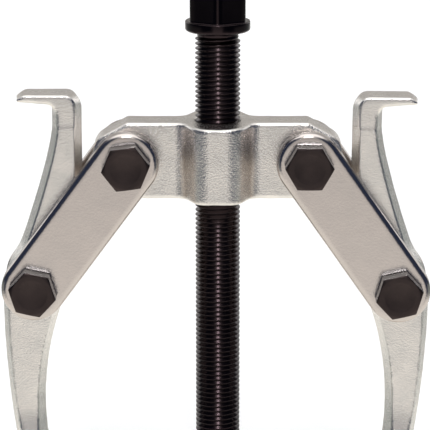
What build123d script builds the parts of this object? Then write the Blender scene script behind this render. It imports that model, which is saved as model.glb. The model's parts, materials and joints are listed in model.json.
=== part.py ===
from build123d import *
import os
from math import atan2, cos, degrees, radians, sin, sqrt, tan

# Two-arm gear puller with double-ended jaws on parallel links.
# Frame: the origin is on the spindle's axis at the yoke's mid-height, +Z runs up to the
# drive hexagon, +X to the right arm and +Y to the side where the nuts are. Millimetres.

os.makedirs("parts", exist_ok=True)

# ---- driving dimensions ----

SAME = 0.01                  # how closely a selected edge or corner matches its place
RUNNING_CLEARANCE = 0.1      # side play of each flat pivot joint, and radial play on each pin
FITTED_CLEARANCE = 0.05      # radial gap where a nut, its ring or the screw's crests fit closely

# yoke
YOKE_HEIGHT = 24.0
YOKE_HALF_LENGTH = 38.5      # spindle axis to the end of an arm
ARM_THICKNESS = 12.0
ARM_PIVOT_X = 28.0           # spindle axis to each arm's bolt, and where the arm's slopes begin
ARM_TIP_HEIGHT = 12.6        # height of the arm's end between its two slopes, before rounding
ARM_TIP_RADIUS = 6.3
BOSS_ROOT_WIDTH = 21.5
BOSS_SIDE_ANGLE = 66.0       # between the boss's sides and the arms' flat sides
BOSS_DEPTH = 31.4
BOSS_CORNER_RADIUS = 6.5
BOSS_VALLEY_RADIUS = 3.8     # hollow between the boss and an arm's flat side
YOKE_EDGE_RADIUS = 1.1
YOKE_BORE_CHAMFER = 0.4

# spindle, M14 x 1.5
THREAD_RADIUS = 7.0
THREAD_PITCH = 1.5
THREAD_DEPTH = 0.92
THREAD_FLANK_ANGLE = 30.0
TOP_CREST_Z = 37.375
SPINDLE_REACH = 155.0        # underside of the collar to the end of the ball
COLLAR_RADIUS = 10.0
COLLAR_BOTTOM_Z = 39.8
COLLAR_HEIGHT = 3.1
COLLAR_EDGE_RADIUS = 0.8
NECK_RADIUS = 6.3
NECK_STEP = 0.1              # height of the cone from the last root to the neck
DRIVE_HEX_FLATS = 17.0
DRIVE_HEX_HEIGHT = 14.0
DOG_RADIUS = 5.6             # plain end below the thread
DOG_LENGTH = 8.5
DOG_CHAMFER = 0.8
BALL_RADIUS = 4.0
BALL_STANDOUT = 2.0          # how far the ball stands out of the dog's end

# links
LINK_CENTRES = 49.2          # bolt to bolt
LINK_WIDTH = 20.0
LINK_THICKNESS = 6.0
LINK_OUTER_EDGE_RADIUS = 1.7
LINK_INNER_EDGE_RADIUS = 0.8

# pivot bolts and lock nuts, M8
PIN_RADIUS = 4.0
BOLT_LENGTH = 35.0
BOLT_END_CHAMFER = 0.8
HEX_FLATS = 13.0
BOLT_HEAD_HEIGHT = 5.3
WASHER_FACE_RADIUS = 5.9
WASHER_FACE_HEIGHT = 0.4
NUT_CHAMFER_ANGLE = 30.0
HEAD_CHAMFER_ANGLE = 18.0    # forged bolt heads have a flatter chamfer than nuts
HEX_FACE_STEP = 0.2          # the turned face of a hexagon is this much inside its flats
NUT_HEIGHT = 8.0
NUT_HEX_HEIGHT = 6.2
NUT_COLLAR_RADIUS = 5.8
NUT_COLLAR_ROUNDING = 0.6
NUT_FLOOR_HEIGHT = 5.4       # metal below the locking ring
NUT_RING_HEIGHT = 2.0
NUT_RING_RADIUS = 5.1
NUT_MOUTH_RADIUS = 4.8       # crimped lip over the ring

# jaws: places run outward (+) and up from the jaw's pivot
JAW_THICKNESS = 12.0
JAW_DRAFT_ANGLE = 19.0       # forging draft from the parting plane to both flat sides
FOOT_THICKNESS = 17.0
FOOT_FLARE_TOP = -39.0       # where the jaw starts to thicken towards its foot
FOOT_FLARE_HEIGHT = 19.0
FOOT_BOTTOM_DRAFT = 1.0      # rise of the foot's underside from the parting plane to a side
SHANK_TOP = 52.3
OUTER_START = (-5.9, 50.0)   # the outer flank as arcs of (radius, turn), from its top down
OUTER_HEADING = (0.12, -1)
OUTER_ARCS = [(75, 8), (300, 5), (20, 13), (28.5, -33), (330, -10.1)]
TOE_STRAIGHT = 2.0
TOE_ARC = (13, -90)
INNER_START = (-15.2, 33.0)  # the inner flank, from the end of its straight top down
INNER_HEADING = (0, -1)
INNER_ARCS = [(120, 19.8), (94, -29)]
THROAT_WALL_RUN = 0.28       # how far the straight wall above the gripping face leans outward
GRIP_HEIGHT = -71.0          # gripping face of the lower lip
LIP_TIP = -15.0
HOOK_THICKNESS = 11.8
HOOK_BOTTOM = 50.2
HOOK_OUTER = -5.9
HOOK_TOP = 60.6
HOOK_TIP = 4.9
HOOK_TIP_SLOPE = 2.2         # run of the slope at the upper lip's end
HOOK_TIP_HEIGHT = 59.3
HOOK_LIP_ROOT = 57.2         # underside of the upper lip, at the stem and at its end
HOOK_LIP_END = 58.1
HOOK_CROWN_RADIUS = 5.0
HOOK_THROAT_RADIUS = 2.4
HOOK_EDGE_RADIUS = 0.5
HOOK_SIDE_DRAFT = 1.8        # how far the stem's sides draw in from the parting plane to a flat side
HOOK_TOP_DRAFT = 0.4

# pose at rest: angle of each link outward from straight down, lean of each jaw outward, and
# how far each bolt's hexagon is turned
SIDES = {
    "left": {"outward": -1, "link_angle": 36.3, "jaw_lean": 0.0, "yoke_hex": 7.5, "jaw_hex": -12.7},
    "right": {"outward": 1, "link_angle": 34.8, "jaw_lean": 0.7, "yoke_hex": 0.0, "jaw_hex": 13.0},
}

# ---- sizes that follow ----

crest_width = THREAD_PITCH / 8
flank_height = THREAD_DEPTH * tan(radians(THREAD_FLANK_ANGLE))
root_radius = THREAD_RADIUS - THREAD_DEPTH
collar_top_z = COLLAR_BOTTOM_Z + COLLAR_HEIGHT
dog_end_z = COLLAR_BOTTOM_Z - SPINDLE_REACH + BALL_STANDOUT
dog_top_z = dog_end_z + DOG_LENGTH
ball_centre = (0, 0, dog_end_z - BALL_STANDOUT + BALL_RADIUS)
link_inner_y = ARM_THICKNESS / 2 + RUNNING_CLEARANCE
link_outer_y = link_inner_y + LINK_THICKNESS
pivot_bore_radius = PIN_RADIUS + RUNNING_CLEARANCE
flare_growth = (FOOT_THICKNESS - JAW_THICKNESS) / 4
flare_radius = ((FOOT_FLARE_HEIGHT / 2)**2 + flare_growth**2) / (2 * flare_growth)
flare_turn = degrees(2 * atan2(flare_growth, FOOT_FLARE_HEIGHT / 2))


def arc_chain(start, heading, arcs, inset=0.0, material=1):
    """Draws arcs, each given as radius and turn, that follow each other smoothly.

    The whole chain is moved sideways by inset, to its left or (material -1) to its right.
    """
    sideways = Vector(-heading[1], heading[0]).normalized() * material
    start, heading = Vector(*start) + sideways * inset, Vector(*heading)
    for radius, turn in arcs:
        bends_inward = 1 if turn * material > 0 else -1
        arc = JernArc(start, heading, radius - bends_inward * inset, turn)
        start, heading = arc @ 1, arc % 1
    return start, heading


def hex_blank(flats, bottom, top, angle, chamfered_base=False):
    """Half section of the turned blank that chamfers a hexagon's corners."""
    corner = flats / sqrt(3)
    face = flats / 2 - HEX_FACE_STEP
    slope = (corner - face) * tan(radians(angle))
    base = [(face, bottom), (corner, bottom + slope)] if chamfered_base else [(corner, bottom)]
    return [(0, bottom), *base, (corner, top - slope), (face, top), (0, top)]


def jaw_outline(inset):
    """The jaw's outline in its parting plane, or drawn in by inset at one of its flat sides."""
    bottom_draft = FOOT_BOTTOM_DRAFT if inset else 0.0
    with BuildLine() as outline:
        heel, heading = arc_chain(OUTER_START, OUTER_HEADING, OUTER_ARCS, inset, -1)
        toe_start = heel + heading * (TOE_STRAIGHT + inset - bottom_draft)
        toe_radius, toe_turn = TOE_ARC
        toe = JernArc(toe_start, heading, toe_radius - inset, toe_turn)
        lip_run = (LIP_TIP - (toe @ 1).X) / (toe % 1).X
        throat, _ = arc_chain(INNER_START, INNER_HEADING, INNER_ARCS, inset, 1)
        shank_inner = INNER_START[0] + inset
        Polyline(heel, toe_start)
        Polyline(
            toe @ 1,
            toe @ 1 + (toe % 1) * lip_run,
            (LIP_TIP, GRIP_HEIGHT),
            (throat.X - THROAT_WALL_RUN, GRIP_HEIGHT),
            throat,
        )
        Polyline(
            (shank_inner, INNER_START[1]),
            (shank_inner, SHANK_TOP - inset),
            (OUTER_START[0] - inset, SHANK_TOP - inset),
            Vector(*OUTER_START) + Vector(OUTER_HEADING[1], -OUTER_HEADING[0]).normalized() * inset,
        )
    return outline.line


def hook_outline(side_inset, top_inset):
    """The hooked end's outline, drawn in at its stem and at its top and tip."""
    inner, outer, tip = INNER_START[0] + side_inset, HOOK_OUTER - side_inset, HOOK_TIP - top_inset
    lip_slope = (HOOK_LIP_END - HOOK_LIP_ROOT) / (HOOK_TIP - HOOK_OUTER)
    with BuildLine() as outline:
        Polyline(
            (inner, HOOK_BOTTOM),
            (inner, HOOK_TOP - top_inset),
            (tip - HOOK_TIP_SLOPE, HOOK_TOP - top_inset),
            (tip, HOOK_TIP_HEIGHT - top_inset),
            (tip, HOOK_LIP_END - lip_slope * top_inset),
            (outer, HOOK_LIP_ROOT - lip_slope * side_inset),
            (outer, HOOK_BOTTOM),
            close=True,
        )
    return outline.line


# ---- yoke ----

with BuildPart() as yoke:
    with BuildSketch(Plane.XY.offset(-YOKE_HEIGHT / 2)) as plan:
        Rectangle(2 * YOKE_HALF_LENGTH, ARM_THICKNESS)
        for facing in (-1, 1):
            with Locations((0, facing * (ARM_THICKNESS + BOSS_DEPTH) / 4)):
                Trapezoid(BOSS_ROOT_WIDTH, (BOSS_DEPTH - ARM_THICKNESS) / 2, BOSS_SIDE_ANGLE,
                          rotation=90 - 90 * facing)
        fillet(plan.vertices().filter_by(lambda v: abs(abs(v.Y) - BOSS_DEPTH / 2) < SAME),
               BOSS_CORNER_RADIUS)
        fillet(plan.vertices().filter_by(lambda v: abs(abs(v.X) - BOSS_ROOT_WIDTH / 2) < SAME),
               BOSS_VALLEY_RADIUS)
    extrude(amount=YOKE_HEIGHT)
    with BuildSketch(Plane.XZ) as elevation:
        Rectangle(2 * ARM_PIVOT_X, YOKE_HEIGHT)
        for outward in (-1, 1):
            with BuildLine():
                Polyline(
                    (outward * ARM_PIVOT_X, YOKE_HEIGHT / 2),
                    (outward * YOKE_HALF_LENGTH, ARM_TIP_HEIGHT / 2),
                    (outward * YOKE_HALF_LENGTH, -ARM_TIP_HEIGHT / 2),
                    (outward * ARM_PIVOT_X, -YOKE_HEIGHT / 2),
                    close=True,
                )
            make_face()
        fillet(elevation.vertices().filter_by(lambda v: abs(v.X) > ARM_PIVOT_X + 1), ARM_TIP_RADIUS)
    extrude(amount=BOSS_DEPTH, both=True, mode=Mode.INTERSECT)
    # the rounded edges are the ones around the two flat sides, the boss, the top and the underside
    fillet(yoke.edges().filter_by(lambda e: abs((e % 0.5).Y) < 0.95 and abs((e % 0.5).Z) < 0.99),
           YOKE_EDGE_RADIUS)
    with Locations(Plane.XY):
        Hole(THREAD_RADIUS + FITTED_CLEARANCE)
    chamfer(yoke.edges(Select.LAST), YOKE_BORE_CHAMFER)
    with Locations(Plane.XZ):
        with Locations((-ARM_PIVOT_X, 0), (ARM_PIVOT_X, 0)):
            Hole(pivot_bore_radius)
yoke.part.label = "yoke"
export_step(yoke.part, "parts/yoke.step")

# ---- spindle: turned blank with one groove for each turn of the thread ----

thread_turns = int((TOP_CREST_Z - dog_top_z - flank_height) / THREAD_PITCH)
turned_profile = [(0, dog_end_z), (DOG_RADIUS - DOG_CHAMFER, dog_end_z),
                  (DOG_RADIUS, dog_end_z + DOG_CHAMFER), (DOG_RADIUS, dog_top_z),
                  (root_radius, dog_top_z)]
for turn in range(thread_turns, -1, -1):
    crest_z = TOP_CREST_Z - turn * THREAD_PITCH
    for radius, rise in ((root_radius, -crest_width / 2 - flank_height), (THREAD_RADIUS, -crest_width / 2),
                         (THREAD_RADIUS, crest_width / 2), (root_radius, crest_width / 2 + flank_height)):
        turned_profile.append((radius, crest_z + rise))
turned_profile += [(NECK_RADIUS, turned_profile[-1][1] + NECK_STEP), (NECK_RADIUS, COLLAR_BOTTOM_Z),
                   (COLLAR_RADIUS, COLLAR_BOTTOM_Z), (COLLAR_RADIUS, collar_top_z), (0, collar_top_z)]

with BuildPart() as spindle:
    with BuildSketch(Plane.XY.offset(collar_top_z)):
        RegularPolygon(DRIVE_HEX_FLATS / 2, 6, major_radius=False, rotation=30)
    extrude(amount=DRIVE_HEX_HEIGHT)
    with BuildSketch(Plane.XZ):
        with BuildLine():
            drive_top_z = collar_top_z + DRIVE_HEX_HEIGHT
            blank = hex_blank(DRIVE_HEX_FLATS, collar_top_z, drive_top_z, NUT_CHAMFER_ANGLE)
            Polyline(*blank, close=True)
        make_face()
    revolve(axis=Axis.Z, mode=Mode.INTERSECT)
    with BuildSketch(Plane.XZ):
        with BuildLine():
            Polyline(*turned_profile, close=True)
        make_face()
    revolve(axis=Axis.Z)
    collar_edges = spindle.edges().filter_by(lambda e: e.geom_type == GeomType.CIRCLE
                                             and abs(e.radius - COLLAR_RADIUS) < SAME)
    fillet(collar_edges.sort_by(Axis.Z)[0], COLLAR_EDGE_RADIUS)
    with Locations(ball_centre):
        Sphere(BALL_RADIUS + FITTED_CLEARANCE, mode=Mode.SUBTRACT)
spindle.part.label = "spindle"
export_step(spindle.part, "parts/spindle.step")

with BuildPart() as tip_ball:
    with Locations(ball_centre):
        Sphere(BALL_RADIUS)
tip_ball.part.label = "tip_ball"
export_step(tip_ball.part, "parts/tip_ball.step")

# ---- both sides: jaw, links, bolts, nuts and locking rings ----

for side, pose in SIDES.items():
    outward = pose["outward"]
    swing = radians(pose["link_angle"])
    lean = radians(pose["jaw_lean"])
    yoke_pivot = (outward * ARM_PIVOT_X, 0)
    jaw_pivot = (outward * (ARM_PIVOT_X + LINK_CENTRES * sin(swing)), -LINK_CENTRES * cos(swing))
    link_centre = ((yoke_pivot[0] + jaw_pivot[0]) / 2, jaw_pivot[1] / 2)
    link_direction = (outward * sin(swing), 0, -cos(swing))
    jaw_outward = (outward * cos(lean), 0, -sin(lean))
    jaw_origin = (jaw_pivot[0], 0, jaw_pivot[1])
    jaw_plane = Plane(jaw_origin, x_dir=jaw_outward, z_dir=(0, -outward, 0))
    jaw_side_plane = Plane(jaw_origin, x_dir=(0, outward, 0), z_dir=jaw_outward)

    with BuildPart() as jaw:
        # drafted forging: lofts from the parting plane to one side, then the other half
        hook_side = (HOOK_THICKNESS / 2, HOOK_SIDE_DRAFT, HOOK_TOP_DRAFT)
        for depth, side_inset, top_inset in ((0, 0, 0), hook_side):
            with BuildSketch(jaw_plane.offset(depth)) as hook:
                add(hook_outline(side_inset, top_inset))
                make_face()
                crown = (INNER_START[0] + side_inset, HOOK_TOP - top_inset)
                throat = (HOOK_OUTER - side_inset, HOOK_LIP_ROOT)
                fillet(hook.vertices().sort_by_distance(crown)[0], HOOK_CROWN_RADIUS - side_inset)
                fillet(hook.vertices().sort_by_distance(throat)[0], HOOK_THROAT_RADIUS + side_inset / 2)
        loft(ruled=True)
        fillet(jaw.edges().filter_by(lambda e: abs(abs(e.center().Y) - HOOK_THICKNESS / 2) < SAME),
               HOOK_EDGE_RADIUS)
        with BuildSketch(jaw_plane):
            add(jaw_outline(0.0))
            make_face()
        with BuildSketch(jaw_plane.offset(FOOT_THICKNESS / 2)):
            add(jaw_outline(FOOT_THICKNESS / 2 * tan(radians(JAW_DRAFT_ANGLE))))
            make_face()
        loft(ruled=True)
        mirror(about=Plane.XZ)
        # thickness seen from the side: flat shank, then a smooth flare to the foot
        with BuildSketch(jaw_side_plane):
            with BuildLine():
                flare_start = (JAW_THICKNESS / 2, FOOT_FLARE_TOP)
                flare_arcs = [(flare_radius, flare_turn), (flare_radius, -flare_turn)]
                flare_end, _ = arc_chain(flare_start, (0, -1), flare_arcs)
                Polyline(
                    flare_end,
                    (FOOT_THICKNESS / 2, -HOOK_TOP * 2),
                    (0, -HOOK_TOP * 2),
                    (0, HOOK_TOP * 2),
                    (JAW_THICKNESS / 2, HOOK_TOP * 2),
                    flare_start,
                )
            make_face()
            mirror(about=Plane.YZ)
        extrude(amount=2 * LINK_WIDTH, both=True, mode=Mode.INTERSECT)
        with Locations(jaw_plane):
            Hole(pivot_bore_radius)
    jaw.part.label = f"jaw_{side}"
    export_step(jaw.part, f"parts/jaw_{side}.step")

    for face, facing in (("front", -1), ("back", 1)):
        with BuildPart() as link:
            link_plane = Plane((link_centre[0], facing * link_inner_y, link_centre[1]),
                               x_dir=link_direction, z_dir=(0, facing, 0))
            with BuildSketch(link_plane):
                SlotCenterToCenter(LINK_CENTRES, LINK_WIDTH)
            extrude(amount=LINK_THICKNESS)
            flat_sides = link.faces().filter_by(Axis.Y).sort_by(lambda f: abs(f.center().Y))
            fillet(flat_sides[-1].edges(), LINK_OUTER_EDGE_RADIUS)
            fillet(link.faces().filter_by(Axis.Y).sort_by(lambda f: abs(f.center().Y))[0].edges(),
                   LINK_INNER_EDGE_RADIUS)
            with Locations(link_plane):
                with Locations((-LINK_CENTRES / 2, 0), (LINK_CENTRES / 2, 0)):
                    Hole(pivot_bore_radius)
        link.part.label = f"link_{face}_{side}"
        export_step(link.part, f"parts/link_{face}_{side}.step")

    for place, (pivot_x, pivot_z), hex_turn in (
        ("yoke", yoke_pivot, pose["yoke_hex"]),
        ("jaw", jaw_pivot, pose["jaw_hex"]),
    ):
        head_seat = (pivot_x, -link_outer_y, pivot_z)
        nut_seat = (pivot_x, link_outer_y, pivot_z)
        head_plane = Plane(head_seat, x_dir=(1, 0, 0), z_dir=(0, -1, 0))
        nut_plane = Plane(nut_seat, x_dir=(1, 0, 0), z_dir=(0, 1, 0))

        with BuildPart() as bolt:
            with BuildSketch(head_plane.offset(WASHER_FACE_HEIGHT)):
                RegularPolygon(HEX_FLATS / 2, 6, major_radius=False, rotation=hex_turn)
            extrude(amount=BOLT_HEAD_HEIGHT - WASHER_FACE_HEIGHT)
            # seen along -Z, so that the section's height runs towards the front
            with BuildSketch(Plane(head_seat, x_dir=(1, 0, 0), z_dir=(0, 0, -1))):
                with BuildLine():
                    Polyline(*hex_blank(HEX_FLATS, 0, BOLT_HEAD_HEIGHT, HEAD_CHAMFER_ANGLE), close=True)
                make_face()
            revolve(axis=Axis(head_seat, (0, 1, 0)), mode=Mode.INTERSECT)
            with BuildSketch(head_plane):
                Circle(WASHER_FACE_RADIUS)
            extrude(amount=WASHER_FACE_HEIGHT)
            with BuildSketch(Plane(head_seat, x_dir=(1, 0, 0), z_dir=(0, 1, 0))):
                Circle(PIN_RADIUS)
            extrude(amount=BOLT_LENGTH)
            chamfer(bolt.edges().sort_by(Axis.Y)[-1], BOLT_END_CHAMFER)
        bolt.part.label = f"{place}_bolt_{side}"
        export_step(bolt.part, f"parts/{place}_bolt_{side}.step")

        with BuildPart() as nut:
            with BuildSketch(nut_plane):
                RegularPolygon(HEX_FLATS / 2, 6, major_radius=False, rotation=hex_turn)
            extrude(amount=NUT_HEX_HEIGHT)
            nut_section = Plane(nut_seat, x_dir=(1, 0, 0), z_dir=(0, 0, 1))
            nut_axis = Axis(nut_seat, (0, 1, 0))
            with BuildSketch(nut_section):
                with BuildLine():
                    Polyline(*hex_blank(HEX_FLATS, 0, NUT_HEX_HEIGHT, NUT_CHAMFER_ANGLE, True), close=True)
                make_face()
            revolve(axis=nut_axis, mode=Mode.INTERSECT)
            with BuildSketch(nut_section):
                with Locations((0, NUT_HEX_HEIGHT / 2)):
                    collar_length = NUT_HEIGHT - NUT_HEX_HEIGHT / 2
                    Rectangle(NUT_COLLAR_RADIUS, collar_length, align=(Align.MIN, Align.MIN))
            revolve(axis=nut_axis)
            fillet(nut.faces().sort_by(Axis.Y)[-1].edges(), NUT_COLLAR_ROUNDING)
            with BuildSketch(nut_section):
                with BuildLine():
                    bore = PIN_RADIUS + FITTED_CLEARANCE
                    Polyline(
                        (0, 0),
                        (bore, 0),
                        (bore, NUT_FLOOR_HEIGHT),
                        (NUT_RING_RADIUS, NUT_FLOOR_HEIGHT),
                        (NUT_RING_RADIUS, NUT_FLOOR_HEIGHT + NUT_RING_HEIGHT),
                        (NUT_MOUTH_RADIUS, NUT_HEIGHT),
                        (0, NUT_HEIGHT),
                        close=True,
                    )
                make_face()
            revolve(axis=nut_axis, mode=Mode.SUBTRACT)
        nut.part.label = f"{place}_nut_{side}"
        export_step(nut.part, f"parts/{place}_nut_{side}.step")

        with BuildPart() as nut_ring:
            with BuildSketch(nut_plane.offset(NUT_FLOOR_HEIGHT)):
                Circle(NUT_RING_RADIUS - FITTED_CLEARANCE)
                Circle(PIN_RADIUS + FITTED_CLEARANCE, mode=Mode.SUBTRACT)
            extrude(amount=NUT_RING_HEIGHT - FITTED_CLEARANCE)
        nut_ring.part.label = f"{place}_nut_ring_{side}"
        export_step(nut_ring.part, f"parts/{place}_nut_ring_{side}.step")
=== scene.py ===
import json
import math

import bmesh
import bpy
from mathutils import Matrix, Vector, noise


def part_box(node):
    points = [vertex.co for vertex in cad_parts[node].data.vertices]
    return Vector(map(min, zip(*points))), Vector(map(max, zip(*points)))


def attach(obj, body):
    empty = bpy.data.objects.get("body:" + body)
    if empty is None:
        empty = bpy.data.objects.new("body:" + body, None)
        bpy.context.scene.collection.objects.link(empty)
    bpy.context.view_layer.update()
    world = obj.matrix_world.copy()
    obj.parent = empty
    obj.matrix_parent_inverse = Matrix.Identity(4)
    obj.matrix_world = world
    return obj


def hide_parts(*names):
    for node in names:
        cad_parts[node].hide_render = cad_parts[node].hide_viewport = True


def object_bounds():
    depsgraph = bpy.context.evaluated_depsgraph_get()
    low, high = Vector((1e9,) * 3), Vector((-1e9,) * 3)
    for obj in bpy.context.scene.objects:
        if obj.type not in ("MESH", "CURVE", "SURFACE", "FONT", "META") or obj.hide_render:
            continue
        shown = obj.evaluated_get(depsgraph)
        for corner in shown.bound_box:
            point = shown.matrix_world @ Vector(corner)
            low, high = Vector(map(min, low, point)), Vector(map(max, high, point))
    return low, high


# Looks of the two-arm gear puller. Metres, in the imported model's frame: the origin is on the
# screw's axis at the yoke's mid-height, +Z up, and the camera stands on the -Y side.

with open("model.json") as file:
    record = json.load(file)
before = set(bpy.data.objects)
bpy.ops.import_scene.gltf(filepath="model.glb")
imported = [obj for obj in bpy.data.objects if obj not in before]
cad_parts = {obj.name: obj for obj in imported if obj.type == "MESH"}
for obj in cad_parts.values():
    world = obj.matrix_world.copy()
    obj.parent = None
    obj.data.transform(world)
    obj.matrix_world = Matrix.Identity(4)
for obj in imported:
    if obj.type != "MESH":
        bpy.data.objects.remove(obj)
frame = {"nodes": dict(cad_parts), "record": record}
cad_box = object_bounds()
body_of_node = {node: body for body, nodes in frame["record"]["behaviour"]["bodies"].items()
                for node in nodes}

MM = 0.001

# ---- sizes of the turned pieces: radii and lengths in millimetres, chamfers in degrees ----

SCREW_COLUMNS = 72
SCREW = {
    "crest": 6.95, "root": 6.05, "pitch": 1.5, "faded_turns": 0.5,
    "crest_shown": 35.8,        # height of one crest on the camera's side
    "neck": 6.3, "dog": 5.6, "dog_length": 8.5, "dog_chamfer": 0.8,
    "flats": 17.0, "hex_height": 14.0, "chamfer": 30,
    "collar": 10.0, "collar_height": 3.1, "collar_rounding": 0.8,
    "ball": 4.0, "ball_standout": 2.0, "ball_play": 0.05, "socket_depth": 3.0,
}
BOLT_COLUMNS = 60
BOLT = {
    "crest": 3.97, "root": 3.35, "pitch": 1.25, "faded_turns": 0.5, "thread_turns": 5,
    "flats": 13.0, "chamfer": 18, "head": 5.3, "dish": 4.6, "dish_depth": 0.16,
    "washer_face": 5.9, "washer_step": 0.4, "tip_length": 0.9,
}
NUT = {
    "flats": 13.0, "chamfer": 30, "hex_height": 6.2, "bore": 4.05,
    "collar": 5.8, "collar_rounding": 0.6, "mouth": 4.8,
    "ring": 5.1, "ring_floor": 5.4, "ring_height": 2.0,
}
EDGE = 0.25                     # how far a support loop stands from the edge it keeps crisp
BREAK = 0.1                     # size of a turned piece's broken edges
CHAMFER_ROWS = 6
ROUNDING_ROWS = 5
THREAD_FLANK = math.tan(math.radians(30))       # rise of a thread's flank for each unit of depth
SCREW_SHARP, FASTENER_SHARP, CAD_SHARP = 65, 50, 35     # degrees from which an edge stays sharp


# ---- small mesh helpers ----

def new_piece(name, mesh, node, material):
    """Puts a finished mesh in the scene in place of a CAD node."""
    piece = bpy.data.objects.new(name, mesh)
    bpy.context.scene.collection.objects.link(piece)
    mesh.materials.clear()
    mesh.materials.append(material)
    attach(piece, body_of_node[node])
    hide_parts(node)
    return piece


def ring(bm, columns, turn, height, radius):
    """A loop of vertices round the local Z axis; radius is a number or a function of the angle."""
    loop = []
    for i in range(columns):
        angle = turn + math.tau * i / columns
        r = radius(angle) if callable(radius) else radius
        loop.append(bm.verts.new((r * math.cos(angle), r * math.sin(angle), height)))
    return loop


def join(bm, below, above):
    for i in range(len(below)):
        k = (i + 1) % len(below)
        bm.faces.new((below[i], below[k], above[k], above[i]))


def stack(bm, columns, turn, rows, below=None):
    """Joins rings for (radius, height) rows to the ring below, and returns the last one."""
    for radius, height in rows:
        above = ring(bm, columns, turn, height, radius)
        if below:
            join(bm, below, above)
        below = above
    return below


def rounding(radius, height, size, start):
    """Rows along a quarter circle round a centre, from a starting angle in degrees."""
    angles = [math.radians(start + 90 * i / (ROUNDING_ROWS - 1)) for i in range(ROUNDING_ROWS)]
    return [(radius + size * math.cos(angle), height + size * math.sin(angle)) for angle in angles]


def fan(bm, loop, height, facing_up):
    """Closes a loop with triangles to one point on the axis."""
    tip = bm.verts.new((0, 0, height))
    for i in range(len(loop)):
        k = (i + 1) % len(loop)
        bm.faces.new((loop[i], loop[k], tip) if facing_up else (loop[k], loop[i], tip))


def soft_min(a, b, softness=0.05):
    """The smaller of two radii, rounded where they cross."""
    low = min(a, b)
    return low - softness * math.log(math.exp((low - a) / softness) + math.exp((low - b) / softness))


def hexagon(flats, turn):
    """Radius of a hexagon at an angle, with a corner at turn."""
    def radius(angle):
        from_flat = (angle - turn) % (math.pi / 3) - math.pi / 6
        return flats / 2 / math.cos(from_flat)
    return radius


def hexagon_end(size, turn, edge, inward):
    """Rows for the chamfered end of a hexagon at the height edge, with inward 1 up or -1 down."""
    corner, face = size["flats"] / math.sqrt(3), size["flats"] / 2 - 0.2
    slope = math.tan(math.radians(size["chamfer"]))
    across = hexagon(size["flats"], turn)
    rows = []
    for i in range(CHAMFER_ROWS + 1):
        rise = (corner + EDGE - face) * slope * i / CHAMFER_ROWS
        cone = face + rise / slope
        rows.append((lambda angle, cone=cone: soft_min(across(angle), cone), edge + inward * rise))
    return rows


def thread(bm, below, columns, turn, start, turns, size, ends):
    """A right-hand thread above the ring below: one helical strip, faded out at both ends.

    Returns the row above it. ends are the radii that it fades to, at the bottom and the top.
    """
    pitch, faded_turns = size["pitch"], size["faded_turns"]
    flank, land = (size["crest"] - size["root"]) * THREAD_FLANK, pitch / 8
    profile = [(0.0, size["root"]), (flank, size["crest"]), (flank + land, size["crest"]),
               (2 * flank + land, size["root"])]
    total = columns * turns

    def vertex(i, point):
        rise, radius = profile[point]
        turns_done, turns_left = i / columns, turns - i / columns + 1
        nearest = max(0.0, min(turns_done, turns_left) - 1)
        fade = min(1.0, nearest / faded_turns)
        plain = ends[0] if turns_done < turns_left else ends[1]
        angle = turn + math.tau * (i % columns) / columns
        radius = plain + (radius - plain) * fade
        return bm.verts.new((radius * math.cos(angle), radius * math.sin(angle),
                             start + pitch * i / columns + rise))

    strip = [[vertex(i, point) for point in range(len(profile))] for i in range(total + 1)]
    strip += [[vertex(i, 0)] for i in range(total + 1, total + columns + 1)]
    for i in range(total):
        for point in range(len(profile)):
            here = strip[i] + [strip[i + columns][0]]
            there = strip[i + 1] + [strip[i + 1 + columns][0]]
            bm.faces.new((here[point], there[point], there[point + 1], here[point + 1]))
    for j in range(columns - 1):
        bm.faces.new((below[j], below[j + 1], strip[j + 1][0], strip[j][0]))
    bm.faces.new((below[-1], below[0], *strip[0], strip[columns][0], strip[columns - 1][0]))
    above = ring(bm, columns, turn, start + pitch * (turns + 1) + EDGE, ends[1])
    top = [row[0] for row in strip[total:]]
    bm.faces.new((top[0], top[1], above[1], above[0], top[-1], *reversed(strip[total][1:])))
    for j in range(1, columns):
        bm.faces.new((top[j], top[j + 1], above[(j + 1) % columns], above[j]))
    return above


def finished_mesh(bm, name, matrix, sharp_angle):
    """Turns a bmesh drawn in millimetres into a smooth-shaded mesh in its place."""
    mesh = bpy.data.meshes.new(name)
    bmesh.ops.recalc_face_normals(bm, faces=bm.faces)
    bm.to_mesh(mesh)
    bm.free()
    mesh.transform(matrix @ Matrix.Scale(MM, 4))
    mesh.polygons.foreach_set("use_smooth", [True] * len(mesh.polygons))
    mesh.set_sharp_from_angle(angle=math.radians(sharp_angle))
    return mesh


def hexagon_turn(node, middle, second, sign, above=-math.inf):
    """Angle of one corner of a CAD node's hexagon: its farthest point from the axis above a height.

    The axis runs through middle. Angles run from X to the second axis, an index, or against it
    where sign is -1.
    """
    points = [vertex.co for vertex in frame["nodes"][node].data.vertices if vertex.co.z > above]
    corner = max(points, key=lambda co: (co.x - middle.x)**2 + (co[second] - middle[second])**2)
    return math.atan2(sign * (corner[second] - middle[second]), corner.x - middle.x)


# ---- materials ----

def shader(name):
    material = bpy.data.materials.new(name)
    material.use_nodes = True
    nodes = material.node_tree.nodes
    return material, nodes, material.node_tree.links, nodes["Principled BSDF"]


def add(nodes, kind, **settings):
    """A node with its inputs or properties set by name."""
    node = nodes.new(kind)
    for key, value in settings.items():
        if key in node.inputs:
            node.inputs[key].default_value = value
        else:
            setattr(node, key, value)
    return node


def spread(nodes, links, source, low, high):
    """Maps a texture's 0 to 1 output to a range."""
    node = add(nodes, "ShaderNodeMapRange", **{"To Min": low, "To Max": high})
    links.new(source, node.inputs["Value"])
    return node.outputs["Result"]


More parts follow.
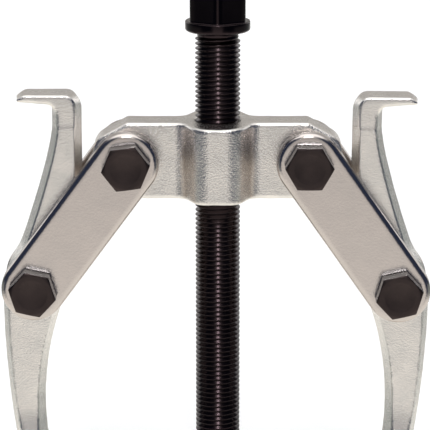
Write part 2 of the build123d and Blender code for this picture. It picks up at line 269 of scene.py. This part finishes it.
def calculated(nodes, links, operation, *sources):
    """The result of a Math node whose sources are numbers or other nodes' outputs."""
    node = add(nodes, "ShaderNodeMath", operation=operation)
    for socket, source in zip(node.inputs, sources):
        if isinstance(source, (int, float)):
            socket.default_value = source
        else:
            links.new(source, socket)
    return node.outputs[0]


def blended(nodes, links, factor, *colours):
    """Mixes two colours, each given as a tuple or as another node's output."""
    node = add(nodes, "ShaderNodeMix", data_type="RGBA")
    links.new(factor, node.inputs[0])
    for socket, colour in zip((node.inputs[6], node.inputs[7]), colours):
        if isinstance(colour, tuple):
            socket.default_value = (*colour, 1)
        else:
            links.new(colour, socket)
    return node.outputs[2]


def bumped(nodes, links, height, distance, strength, under=None):
    node = add(nodes, "ShaderNodeBump", Distance=distance, Strength=strength)
    links.new(height, node.inputs["Height"])
    if under:
        links.new(under, node.inputs["Normal"])
    return node.outputs["Normal"]


STAIN_SIZE = 9.0                # millimetres across the mottling
STAIN_CONTRAST = (-0.6, 1.6)    # past 0 and 1, so that most of a surface is one tint or the other
PIT_SIZE = 1.8                  # as a share of the grain's size


def speckled(name, light, dark, roughness, grain_size, grain_depth, metallic=1.0):
    """A mottled tint between two colours, with an uneven gloss and a fine grain in its relief."""
    material, nodes, links, surface = shader(name)
    place = add(nodes, "ShaderNodeTexCoord").outputs["Object"]
    stains = add(nodes, "ShaderNodeTexNoise", Scale=1 / (STAIN_SIZE * MM), Detail=4, Roughness=0.6)
    grain = add(nodes, "ShaderNodeTexNoise", Scale=1 / (grain_size * MM), Detail=5, Roughness=0.65)
    pits = add(nodes, "ShaderNodeTexVoronoi", Scale=1 / (PIT_SIZE * grain_size * MM), Randomness=1.0)
    for texture in (stains, grain, pits):
        links.new(place, texture.inputs["Vector"])
    mottle = spread(nodes, links, stains.outputs["Fac"], *STAIN_CONTRAST)
    links.new(blended(nodes, links, mottle, light, dark), surface.inputs["Base Color"])
    gloss = spread(nodes, links, grain.outputs["Fac"], *roughness)
    links.new(gloss, surface.inputs["Roughness"])
    relief = bumped(nodes, links, grain.outputs["Fac"], grain_depth * MM, 1.0)
    links.new(bumped(nodes, links, pits.outputs["Distance"], grain_depth * MM, 0.5, relief),
              surface.inputs["Normal"])
    surface.inputs["Metallic"].default_value = metallic
    return material


# light and dark tint, roughness range, then the grain's size and depth in millimetres
forged_zinc = speckled("forged_zinc", (0.87, 0.83, 0.79), (0.76, 0.735, 0.71),
                       (0.16, 0.34), 0.34, 0.095)
jaw_zinc = speckled("jaw_zinc", (0.88, 0.84, 0.80), (0.77, 0.745, 0.72),
                    (0.16, 0.34), 0.28, 0.07)
rolled_zinc = speckled("rolled_zinc", (0.605, 0.55, 0.52), (0.56, 0.515, 0.49),
                       (0.12, 0.26), 0.5, 0.022)
screw_oxide = speckled("screw_oxide", (0.036, 0.026, 0.028), (0.025, 0.018, 0.02),
                       (0.15, 0.27), 0.5, 0.006)
bolt_oxide = speckled("bolt_oxide", (0.07, 0.053, 0.051), (0.046, 0.036, 0.036),
                      (0.34, 0.55), 0.4, 0.02)
nut_oxide = speckled("nut_oxide", (0.075, 0.06, 0.06), (0.05, 0.042, 0.045),
                     (0.3, 0.5), 0.4, 0.01)
ball_steel = speckled("ball_steel", (0.72, 0.71, 0.70), (0.62, 0.62, 0.62),
                      (0.08, 0.2), 0.6, 0.002)
nylon = speckled("nylon", (0.72, 0.70, 0.64), (0.66, 0.64, 0.58),
                 (0.35, 0.5), 0.8, 0.01, metallic=0.0)

HEAD_DEPTH = -12.0              # the bolt heads stand in front of this depth, in millimetres
SIDEWAYS = 0.35                 # a face is a flat if less than this of its normal runs front to back
WORN_STEEL, WORN_ROUGHNESS = (0.45, 0.45, 0.47), 0.2


def polish_flats(material):
    """Brightens the flats of the bolt heads, where spanners have worn the oxide smooth."""
    nodes, links = material.node_tree.nodes, material.node_tree.links
    surface = nodes["Principled BSDF"]
    coordinates = add(nodes, "ShaderNodeTexCoord")
    depths = []
    for output in ("Normal", "Object"):
        parts = add(nodes, "ShaderNodeSeparateXYZ")
        links.new(coordinates.outputs[output], parts.inputs["Vector"])
        depths.append(parts.outputs["Y"])
    slant = calculated(nodes, links, "ABSOLUTE", depths[0])
    is_flat = calculated(nodes, links, "LESS_THAN", slant, SIDEWAYS)
    is_head = calculated(nodes, links, "LESS_THAN", depths[1], HEAD_DEPTH * MM)
    is_worn = calculated(nodes, links, "MULTIPLY", is_flat, is_head)
    for name, worn in (("Base Color", WORN_STEEL), ("Roughness", (WORN_ROUGHNESS,) * 3)):
        fresh = surface.inputs[name].links[0].from_socket
        links.new(blended(nodes, links, is_worn, fresh, worn), surface.inputs[name])


polish_flats(bolt_oxide)


# ---- forged and blanked pieces: softened from the CAD shapes ----

VOXEL = 0.4                     # millimetres between the points of the softened meshes
YOKE_FINISH = {"smoothing": 3, "waves": 0.05, "material": forged_zinc}
JAW_FINISH = {"smoothing": 9, "waves": 0.06, "material": jaw_zinc}
LINK_FINISH = {"smoothing": 2, "waves": 0.015, "material": rolled_zinc}
SOFTENED = {
    "yoke": YOKE_FINISH, "jaw_left": JAW_FINISH, "jaw_right": JAW_FINISH,
    "link_front_left": LINK_FINISH, "link_front_right": LINK_FINISH,
    "link_back_left": LINK_FINISH, "link_back_right": LINK_FINISH,
}
WAVE_LENGTH = 6.0               # millimetres between the soft waves that forging leaves


def softened_mesh(node, smoothing):
    """An evenly meshed copy of a CAD node with its edges worn soft."""
    mesh = frame["nodes"][node].data.copy()
    bm = bmesh.new()
    bm.from_mesh(mesh)
    bmesh.ops.remove_doubles(bm, verts=bm.verts, dist=1e-7)
    bm.to_mesh(mesh)
    bm.free()
    draft = bpy.data.objects.new("draft", mesh)
    bpy.context.scene.collection.objects.link(draft)
    remesh = draft.modifiers.new("remesh", "REMESH")
    remesh.mode = "VOXEL"
    remesh.voxel_size = VOXEL * MM
    smooth = draft.modifiers.new("smooth", "SMOOTH")
    smooth.factor = 0.5
    smooth.iterations = smoothing
    depsgraph = bpy.context.evaluated_depsgraph_get()
    result = bpy.data.meshes.new_from_object(draft.evaluated_get(depsgraph), depsgraph=depsgraph)
    bpy.data.objects.remove(draft)
    return result


def forge(node, smoothing, waves, material):
    """Softens a CAD node and lets its surface wave slightly, inward so that it grows nowhere."""
    mesh = softened_mesh(node, smoothing)
    places = [vertex.co.copy() for vertex in mesh.vertices]
    normals = [vertex.normal.copy() for vertex in mesh.vertices]
    for i, (place, normal) in enumerate(zip(places, normals)):
        wave = noise.noise(place / (WAVE_LENGTH * MM)) - 0.5
        places[i] = place + normal * (wave * waves * MM)
    mesh.vertices.foreach_set("co", [axis for place in places for axis in place])
    mesh.polygons.foreach_set("use_smooth", [True] * len(mesh.polygons))
    return new_piece(f"{node}_forged", mesh, node, material)


for node, finish in SOFTENED.items():
    forge(node, **finish)


# ---- screw ----

def screw_point(size, bottom):
    """Rows from the roof of the ball's socket, round the screw's point, to the top of its dog."""
    ball_middle = bottom - size["ball_standout"] + size["ball"]
    rim = math.sqrt(size["ball"]**2 - (size["ball"] - size["ball_standout"])**2) + 0.06
    wall, dog, chamfer = size["ball"] + size["ball_play"], size["dog"], size["dog_chamfer"]
    return [(size["ball"] - 1, ball_middle + size["socket_depth"]), (wall, ball_middle + 1),
            (wall, ball_middle), (rim, bottom + BREAK), (rim + 2 * BREAK, bottom),
            (dog - chamfer - BREAK, bottom), (dog - chamfer + BREAK, bottom + BREAK),
            (dog, bottom + chamfer), (dog, bottom + chamfer + 0.4),
            (dog, bottom + size["dog_length"] - 0.3), (dog, bottom + size["dog_length"])]


def screw_collar(size, across, bottom):
    """Rows round the collar, from the neck to the hexagon's foot; across is the hexagon's radius."""
    collar, top = size["collar"], bottom + size["collar_height"]
    bend = size["collar_rounding"]
    foot = [(0.25, 0.35, 0.0), (0.05, 0.45, 0.2), (0.0, 0.5, 0.6)]      # out, in and up
    return [(size["neck"], bottom), *rounding(collar - bend, bottom + bend, bend, -90),
            (collar, top - 0.35), (collar - 0.08, top - BREAK), (collar - 0.3, top),
            *((lambda angle, out=out, held=held: min(across(angle) + out, collar - held), top + up)
              for out, held, up in foot)]


def make_screw():
    low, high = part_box("spindle")
    size = SCREW
    top, bottom = high.z / MM, low.z / MM
    collar_bottom = top - size["hex_height"] - size["collar_height"]
    dog_top = bottom + size["dog_length"]
    turn = hexagon_turn("spindle", Vector(), 1, 1, above=high.z - size["hex_height"] * MM / 2)
    bm = bmesh.new()
    point = screw_point(size, bottom)
    first = ring(bm, SCREW_COLUMNS, turn, *reversed(point[0]))
    fan(bm, first, point[0][1], False)
    below = stack(bm, SCREW_COLUMNS, turn, point[1:], first)

    crest_rise = (size["crest"] - size["root"]) * THREAD_FLANK + size["pitch"] / 16
    shown_share = (math.pi - turn) / math.tau       # of a turn, from the strip's start
    start = size["crest_shown"] - size["pitch"] * shown_share - crest_rise
    start -= size["pitch"] * math.floor((start - dog_top - BREAK) / size["pitch"])
    turns = int((collar_bottom - EDGE - BREAK - start) / size["pitch"]) - 1
    ends = (size["dog"] + 0.4, size["neck"])
    below = thread(bm, below, SCREW_COLUMNS, turn, start, turns, size, ends)

    collar = screw_collar(size, hexagon(size["flats"], turn), collar_bottom)
    below = stack(bm, SCREW_COLUMNS, turn, collar, below)
    below = stack(bm, SCREW_COLUMNS, turn, reversed(hexagon_end(size, turn, top, -1)), below)
    below = stack(bm, SCREW_COLUMNS, turn, [(size["flats"] / 2 - 0.6, top)], below)
    fan(bm, below, top, True)
    mesh = finished_mesh(bm, "screw", Matrix.Identity(4), SCREW_SHARP)
    return new_piece("spindle_threaded", mesh, "spindle", screw_oxide)


make_screw()


# ---- pivot bolts and lock nuts ----

def pivot_place(node):
    """The depths of a bolt's or nut's ends, a place with Z along its axis, and its hexagon's turn."""
    low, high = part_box(node)
    middle = (low + high) / 2
    place = Matrix.Translation((middle.x, 0, middle.z)) @ Matrix.Rotation(-math.pi / 2, 4, "X")
    return low.y / MM, high.y / MM, place, hexagon_turn(node, middle, 2, -1)


def bolt_head(size, turn, front, seat):
    """Rows from the head's dish to the washer face under it."""
    across = hexagon(size["flats"], turn)
    dish, washer, underside = size["dish"], size["washer_face"], seat - size["washer_step"]
    return [(dish - 0.5, front + size["dish_depth"]), (dish, front + 0.03), (dish + 0.3, front),
            (size["flats"] / 2 - 0.45, front), *hexagon_end(size, turn, front, 1),
            (across, underside - EDGE), (lambda angle: across(angle) - 0.1, underside - 0.05),
            (lambda angle: across(angle) - 0.4, underside), (washer + 0.15, underside),
            (washer, underside + BREAK), (washer, seat - 0.01)]


def make_bolt(node):
    size = BOLT
    front, back, place, turn = pivot_place(node)
    seat = front + size["head"]
    bm = bmesh.new()
    head = bolt_head(size, turn, front, seat)
    first = ring(bm, BOLT_COLUMNS, turn, *reversed(head[0]))
    fan(bm, first, head[0][1], False)
    below = stack(bm, BOLT_COLUMNS, turn, head[1:], first)
    start = back - size["tip_length"] - size["pitch"] * (size["thread_turns"] + 1) - EDGE
    shank = [(size["crest"], seat - 0.01), (size["crest"], seat + 0.5), (size["crest"], start - 0.2)]
    below = stack(bm, BOLT_COLUMNS, turn, shank, below)
    root = size["root"]
    ends = (size["crest"], root + 0.35)
    below = thread(bm, below, BOLT_COLUMNS, turn, start, size["thread_turns"], size, ends)
    tip = [(root + 0.2, back - 0.35), (root - 0.1, back - 0.05), (root - 0.4, back)]
    below = stack(bm, BOLT_COLUMNS, turn, tip, below)
    fan(bm, below, back, True)
    mesh = finished_mesh(bm, node, place, FASTENER_SHARP)
    return new_piece(f"{node}_threaded", mesh, node, bolt_oxide)


def make_nut(node):
    size = NUT
    seat, back, place, turn = pivot_place(node)
    hex_top, ring_floor = seat + size["hex_height"], seat + size["ring_floor"]
    collar, bend, bore = size["collar"], size["collar_rounding"], size["bore"]
    rows = [(bore, seat), (size["flats"] / 2 - 0.4, seat), *hexagon_end(size, turn, seat, 1),
            *reversed(hexagon_end(size, turn, hex_top, -1)),
            (collar + EDGE, hex_top), (collar + 0.05, hex_top + 0.08), (collar, hex_top + 0.3),
            (collar, back - bend - 0.15), *rounding(collar - bend, back - bend, bend, 0)[1:],
            (size["mouth"] + BREAK, back), (size["mouth"], back - BREAK),
            (size["ring"], ring_floor + size["ring_height"]), (size["ring"], ring_floor),
            (bore + BREAK, ring_floor), (bore, ring_floor - BREAK)]
    bm = bmesh.new()
    first = ring(bm, BOLT_COLUMNS, turn, *reversed(rows[0]))
    last = stack(bm, BOLT_COLUMNS, turn, rows[1:], first)
    join(bm, last, first)
    mesh = finished_mesh(bm, node, place, FASTENER_SHARP)
    return new_piece(f"{node}_formed", mesh, node, nut_oxide)


for side in ("left", "right"):
    for pivot in ("yoke", "jaw"):
        make_bolt(f"{pivot}_bolt_{side}")
        make_nut(f"{pivot}_nut_{side}")


# ---- CAD nodes that keep their own shape ----

for node, cad in frame["nodes"].items():
    if not cad.hide_render:
        cad.data.materials.clear()
        cad.data.materials.append(nylon if "nut_ring" in node else ball_steel)
        cad.data.polygons.foreach_set("use_smooth", [True] * len(cad.data.polygons))
        cad.data.set_sharp_from_angle(angle=math.radians(CAD_SHARP))


# ---- floor, light and camera ----

FLOOR_DROP = 0.032              # leaves room for the screw, which runs out 27 mm below the jaws
FLOOR_RADIUS = 3.0
FLOOR_TONE, FLOOR_ROUGHNESS = 0.96, 0.9
FLOOR_GLOW = 0.14               # keeps the floor nearly white under the soft light
CAMERA_AIM = Vector((0, 0, -0.0186))
CAMERA_DISTANCE = 0.731
CAMERA_PITCH = math.radians(14.5)
CAMERA_LENS = 196
CAMERA_SENSOR = 36
CAMERA_SHIFT = -2.7 / 430       # the screw stands nearly three pixels right of the picture's middle

# The studio's light by direction. Bearings run from 0 at the front to 1 at the back, and heights
# from 0 straight down to 1 straight up. Each panel has a colour and two ramps of (place, cover).
STUDIO_STRENGTH = 2.6
STUDIO_HEIGHTS = [
    (0.0, (0.43, 0.42, 0.39)), (0.30, (0.42, 0.41, 0.385)), (0.42, (0.285, 0.275, 0.265)),
    (0.50, (0.22, 0.215, 0.21)), (0.72, (0.20, 0.20, 0.195)), (0.87, (0.28, 0.28, 0.28)),
    (0.94, (0.6, 0.6, 0.6)), (1.0, (0.7, 0.7, 0.7)),
]
BACK_WALL, SIDE_WALL = (0.165, 0.158, 0.148), (0.11, 0.12, 0.117)
GAP, STRIP, LAMP = (0.012, 0.016, 0.03), (0.65, 0.65, 0.65), (8.0, 8.0, 8.0)
STUDIO_PANELS = [
    # the dim wall behind, which the upward faces mirror
    (BACK_WALL, [(0.0, 0), (0.78, 0), (0.88, 1), (1.0, 1)],
     [(0.0, 0), (0.50, 0), (0.56, 1), (0.70, 1), (0.78, 0)]),
    # the dim greenish walls low on both sides
    (SIDE_WALL, [(0.0, 0), (0.18, 0), (0.26, 1), (0.76, 1), (0.88, 0)],
     [(0.0, 0), (0.24, 0), (0.36, 1), (0.60, 1), (0.66, 0)]),
    # the dark gaps beside the camera
    (GAP, [(0.0, 0), (0.075, 0), (0.12, 1), (0.30, 1), (0.38, 0)],
     [(0.0, 0), (0.28, 0), (0.38, 1), (0.82, 1), (0.90, 0)]),
    # the dark gaps above the side walls
    (GAP, [(0.0, 0), (0.10, 0), (0.16, 1), (0.62, 1), (0.68, 0)],
     [(0.0, 0), (0.46, 0), (0.51, 1), (0.82, 1), (0.90, 0)]),
    # the pale strips behind on both sides
    (STRIP, [(0.0, 0), (0.68, 0), (0.73, 1), (0.82, 1), (0.87, 0)],
     [(0.0, 0), (0.52, 0), (0.56, 1), (0.66, 1), (0.72, 0)]),
    # a small lamp above the camera
    (LAMP, [(0.0, 1), (0.012, 1), (0.026, 0), (1.0, 0)],
     [(0.0, 0), (0.76, 0), (0.80, 1), (0.90, 1), (0.94, 0)]),
]


def make_floor():
    mesh = bpy.data.meshes.new("floor")
    bm = bmesh.new()
    bmesh.ops.create_circle(bm, cap_ends=True, segments=64, radius=FLOOR_RADIUS)
    bm.to_mesh(mesh)
    bm.free()
    floor = bpy.data.objects.new("floor", mesh)
    floor.location.z = cad_box[0].z - FLOOR_DROP
    bpy.context.scene.collection.objects.link(floor)
    material, _, _, surface = shader("floor_paper")
    surface.inputs["Base Color"].default_value = (FLOOR_TONE, FLOOR_TONE, FLOOR_TONE, 1)
    surface.inputs["Emission Color"].default_value = (1, 1, 1, 1)
    surface.inputs["Emission Strength"].default_value = FLOOR_GLOW
    surface.inputs["Roughness"].default_value = FLOOR_ROUGHNESS
    mesh.materials.append(material)
    floor.visible_glossy = False


def make_world():
    """A studio as light by direction: bright ceiling and ground, dim walls and dark gaps."""
    world = bpy.data.worlds.new("studio")
    world.use_nodes = True
    nodes, links = world.node_tree.nodes, world.node_tree.links
    direction = add(nodes, "ShaderNodeTexCoord").outputs["Generated"]
    parts = add(nodes, "ShaderNodeSeparateXYZ")
    links.new(direction, parts.inputs["Vector"])

    def ramp(source, stops):
        """A colour by place, from stops of a place and a colour or a single level."""
        node = add(nodes, "ShaderNodeValToRGB")
        node.color_ramp.interpolation = "EASE"
        while len(node.color_ramp.elements) < len(stops):
            node.color_ramp.elements.new(0.5)
        for element, (position, level) in zip(node.color_ramp.elements, stops):
            element.position = position
            element.color = (*(level if isinstance(level, tuple) else (level,) * 3), 1)
        links.new(source, node.inputs["Fac"])
        return node.outputs["Color"]

    sideways = calculated(nodes, links, "ABSOLUTE", parts.outputs["X"])
    forward = calculated(nodes, links, "MULTIPLY", parts.outputs["Y"], -1.0)
    bearing = calculated(nodes, links, "ARCTAN2", sideways, forward)
    bearing = calculated(nodes, links, "DIVIDE", bearing, math.pi)
    height = calculated(nodes, links, "MULTIPLY_ADD", parts.outputs["Z"], 0.5, 0.5)
    light = ramp(height, STUDIO_HEIGHTS)
    for colour, by_bearing, by_height in STUDIO_PANELS:
        cover = calculated(nodes, links, "MULTIPLY", ramp(bearing, by_bearing),
                           ramp(height, by_height))
        light = blended(nodes, links, cover, light, colour)
    background = nodes["Background"]
    links.new(light, background.inputs["Color"])
    background.inputs["Strength"].default_value = STUDIO_STRENGTH
    bpy.context.scene.world = world


def make_camera():
    data = bpy.data.cameras.new("camera")
    data.lens = CAMERA_LENS
    data.sensor_width = CAMERA_SENSOR
    data.shift_x = CAMERA_SHIFT
    camera = bpy.data.objects.new("camera", data)
    away = Vector((0, -math.cos(CAMERA_PITCH), math.sin(CAMERA_PITCH)))
    camera.location = CAMERA_AIM + away * CAMERA_DISTANCE
    camera.rotation_euler = (math.pi / 2 - CAMERA_PITCH, 0, 0)
    bpy.context.scene.collection.objects.link(camera)
    bpy.context.scene.camera = camera


make_floor()
make_world()
make_camera()
bpy.context.scene.view_settings.view_transform = "Standard"
